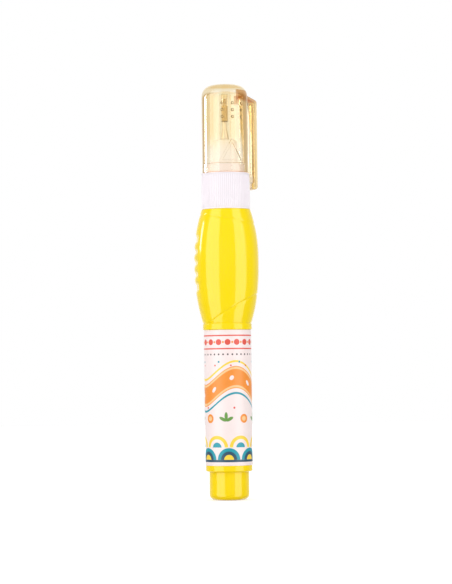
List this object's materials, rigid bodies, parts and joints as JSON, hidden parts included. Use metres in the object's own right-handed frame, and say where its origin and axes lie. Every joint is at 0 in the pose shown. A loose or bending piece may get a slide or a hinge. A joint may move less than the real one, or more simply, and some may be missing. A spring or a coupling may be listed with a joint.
{
  "type": "correction pen",
  "caption": "Squeeze-type correction pen with a ridged bulb bottle, a ribbed collar, a sprung needle tip, and a clear clip cap that pulls off.",
  "frame": {"origin": "centre of the tail's flat foot, on the pen's long axis", "axes": "+Z along the pen from the tail to the cap; -Y is the front, with the cap's dots and triangle and the label's face; +X is the side that the pocket clip is near; the thumb ridges face -X"},
  "size_m": [0.0218, 0.0218, 0.1397],
  "materials": {
    "yellow_bottle": "glossy soft polyethylene, opaque yellow",
    "label_film": null,
    "steel": "bright drawn steel",
    "white_plastic": "satin white polypropylene",
    "nickel_tip": "turned and plated metal",
    "natural_plastic": "natural acetal",
    "amber_clear": "clear amber polystyrene, polished",
    "seal_rubber": "soft brown rubber"
  },
  "bodies": {
    "barrel": {"bottle": "yellow_bottle", "label": "label_film", "ribbed_collar": "white_plastic", "nozzle_holder": "white_plastic", "metal_tip": "nickel_tip", "spring_retainer": "natural_plastic"},
    "capping": {"cap": "amber_clear", "tip_seal": "seal_rubber"},
    "valve": {"valve_pin": "steel", "pin_carrier": "natural_plastic", "valve_spring": "steel"},
    "ball": {"mixing_ball": "steel"}
  },
  "joints": [
    {"name": "cap_pull", "type": "slide", "parent": "barrel", "child": "capping", "axis": [0, 0, 1], "range_m": [0, 0.026]},
    {"name": "pin_press", "type": "slide", "parent": "barrel", "child": "valve", "axis": [0, 0, -1], "range_m": [0, 0.0005], "stiffness_N_per_m": 150, "springref_m": -0.0015, "deforming": ["valve_spring"]},
    {"name": "ball_travel", "type": "slide", "parent": "barrel", "child": "ball", "axis": [0, 0, 1], "range_m": [0, 0.0955]}
  ]
}
